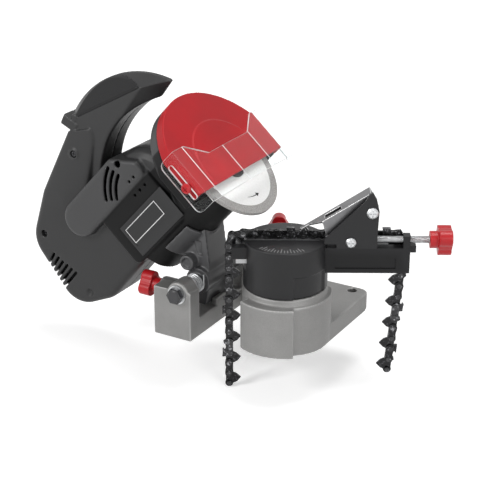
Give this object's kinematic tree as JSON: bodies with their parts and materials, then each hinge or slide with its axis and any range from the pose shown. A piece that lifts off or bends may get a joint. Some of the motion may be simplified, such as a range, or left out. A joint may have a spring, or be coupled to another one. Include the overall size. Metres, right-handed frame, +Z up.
{
  "type": "saw chain sharpener",
  "caption": "Bench-mounted electric grinder for saw chains: tilting motor head with guarded wheel over a swivelling chain vise",
  "frame": {"origin": "on the vise's swivel axis, on the underside of the base's boss", "axes": "+Z up, +Y away from the bench's front edge, +X towards the vise's right side"},
  "size_m": [0.3913, 0.1668, 0.2718],
  "materials": {
    "cast_aluminium": "sand-cast, matt",
    "steel": "zinc plated, satin",
    "dark_steel": "black oxide, satin",
    "housing_plastic": "satin, fine grain",
    "guard_plastic": "semi-gloss",
    "knob_plastic": "semi-gloss",
    "shield_plastic": "clear, polished",
    "abrasive": "bonded grit, rough",
    "paper": "paper, matt",
    "vise_plastic": "satin",
    "zinc_sheet": "zinc plated, satin",
    "bronze": "sintered, matt",
    "copper": "enamelled wire",
    "chain_steel": "oiled, dark",
    "mark_white": "printed, matt",
    "rubber_black": "matt"
  },
  "bodies": {
    "base": {"base_casting": "cast_aluminium", "hinge_bolt": "dark_steel", "hinge_nut": "dark_steel", "hinge_washers": "steel", "return_spring": "steel", "swivel_screw": "dark_steel", "swivel_washer": "steel"},
    "head": {"tilt_arm": "dark_steel", "arm_bushes": "bronze", "shell_near": "housing_plastic", "shell_far": "housing_plastic", "grip_pads": "housing_plastic", "label_plate": "housing_plastic", "housing_screws": "dark_steel", "cord_gland": "rubber_black", "switch_frame": "housing_plastic", "motor_stator": "steel", "motor_windings": "copper", "motor_bearings": "steel", "guard_back": "housing_plastic", "wheel_guard": "guard_plastic", "guard_screws": "steel", "shield_screw": "knob_plastic"},
    "spindle": {"motor_shaft": "steel", "motor_rotor": "steel", "motor_fan": "mark_white", "inner_flange": "steel", "grinding_wheel": "abrasive", "wheel_label": "paper", "wheel_nut": "dark_steel"},
    "shield": {"clear_shield": "shield_plastic"},
    "rocker": {"switch_rocker": "knob_plastic"},
    "vise": {"vise_drum": "vise_plastic", "vise_arm": "vise_plastic", "front_rail": "zinc_sheet", "angle_scale": "mark_white", "rail_screws": "steel", "drive_links": "chain_steel", "tie_straps": "chain_steel", "chain_cutters": "chain_steel", "chain_rivets": "chain_steel"},
    "jaw": {"rear_rail": "zinc_sheet"},
    "clamp": {"clamp_screw": "steel", "clamp_knob": "knob_plastic"},
    "stop": {"slide_block": "vise_plastic", "stop_bracket": "dark_steel", "bracket_screws": "steel"},
    "adjuster": {"adjust_screw": "steel", "adjust_knob": "knob_plastic"},
    "pawl": {"chain_pawl": "zinc_sheet"},
    "tip": {"depth_tip": "dark_steel"},
    "depth": {"depth_screw": "steel", "depth_knob": "knob_plastic"}
  },
  "joints": [
    {"name": "head_tilt", "type": "hinge", "parent": "base", "child": "head", "pos_m": [-0.077, 0, 0.0435], "axis": [0, 1, 0], "range_deg": [0, 8], "stiffness_Nm_per_rad": 1.5, "springref_deg": -20.05},
    {"name": "wheel_spin", "type": "hinge", "parent": "head", "child": "spindle", "pos_m": [-0.0549, 0, 0.1495], "axis": [0.6704, 0, 0.742], "continuous": true},
    {"name": "shield_slide", "type": "slide", "parent": "head", "child": "shield", "axis": [0.742, 0, -0.6704], "range_m": [-0.004, 0.006]},
    {"name": "switch_rock", "type": "hinge", "parent": "head", "child": "rocker", "pos_m": [-0.232, 0.014, 0.088], "axis": [1, 0, 0], "range_deg": [0, 8]},
    {"name": "vise_swivel", "type": "hinge", "parent": "base", "child": "vise", "pos_m": [0, 0, 0.0505], "axis": [0, 0, 1], "range_deg": [-64.5, 5.5]},
    {"name": "clamp_spin", "type": "hinge", "parent": "jaw", "child": "clamp", "pos_m": [-0.02454, 0.03322, 0.082], "axis": [-0.4924, 0.8704, 0], "range_deg": [0, 540]},
    {"name": "jaw_slide", "type": "slide", "parent": "vise", "child": "jaw", "axis": [-0.4924, 0.8704, 0], "range_m": [0, 0.0015]},
    {"name": "adjust_spin", "type": "hinge", "parent": "vise", "child": "adjuster", "pos_m": [0.11032, 0.05276, 0.0962], "axis": [0.8704, 0.4924, 0], "range_deg": [-1440, 1440]},
    {"name": "stop_slide", "type": "slide", "parent": "vise", "child": "stop", "axis": [0.8704, 0.4924, 0], "range_m": [-0.004, 0.004]},
    {"name": "pawl_flip", "type": "hinge", "parent": "stop", "child": "pawl", "pos_m": [0.06704, 0.02874, 0.1226], "axis": [-0.4924, 0.8704, 0], "range_deg": [0, 60]},
    {"name": "depth_slide", "type": "slide", "parent": "base", "child": "tip", "axis": [1, 0, 0], "range_m": [-0.004, 0]},
    {"name": "depth_spin", "type": "hinge", "parent": "tip", "child": "depth", "pos_m": [-0.12, -0.014, 0.026], "axis": [1, 0, 0], "range_deg": [-1440, 0]}
  ],
  "couplings": [
    {"joint": "clamp_spin", "follows": "jaw_slide", "rad_per_m": 6283.2},
    {"joint": "adjust_spin", "follows": "stop_slide", "rad_per_m": -6283.2},
    {"joint": "depth_spin", "follows": "depth_slide", "rad_per_m": 6283.2}
  ]
}
